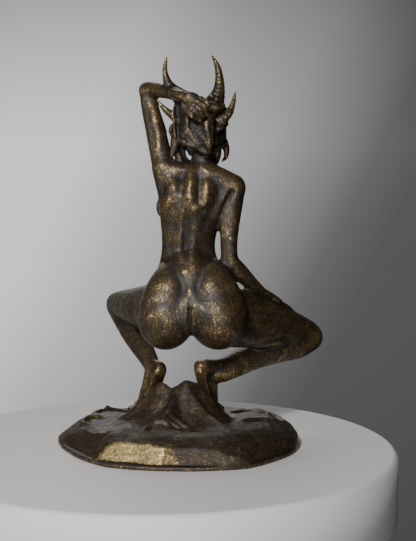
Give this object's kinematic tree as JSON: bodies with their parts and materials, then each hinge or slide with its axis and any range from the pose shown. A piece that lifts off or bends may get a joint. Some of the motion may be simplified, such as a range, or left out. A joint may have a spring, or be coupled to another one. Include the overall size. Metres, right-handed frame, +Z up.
{
  "type": "crouching female figure statue",
  "caption": "Small cast statue of a crouching nude woman on a rock base, seen from behind, who holds a horned mask to the back of her head with a raised arm",
  "frame": {"origin": "middle of the flat underside of the rock base", "axes": "+Z up through the figure, +Y the way the figure faces, +X to her right, which is the picture's right because the camera stands behind her"},
  "size_m": [0.1646, 0.1558, 0.2317],
  "materials": {
    "figure": "black-brown resin dry-brushed with bronze-gold paint, semi-gloss",
    "rock_base": "black-brown resin dry-brushed with bronze-gold paint, with one bright gold facet at the front"
  },
  "bodies": {
    "root": {"figure": "figure", "rock_base": "rock_base"}
  },
  "joints": []
}
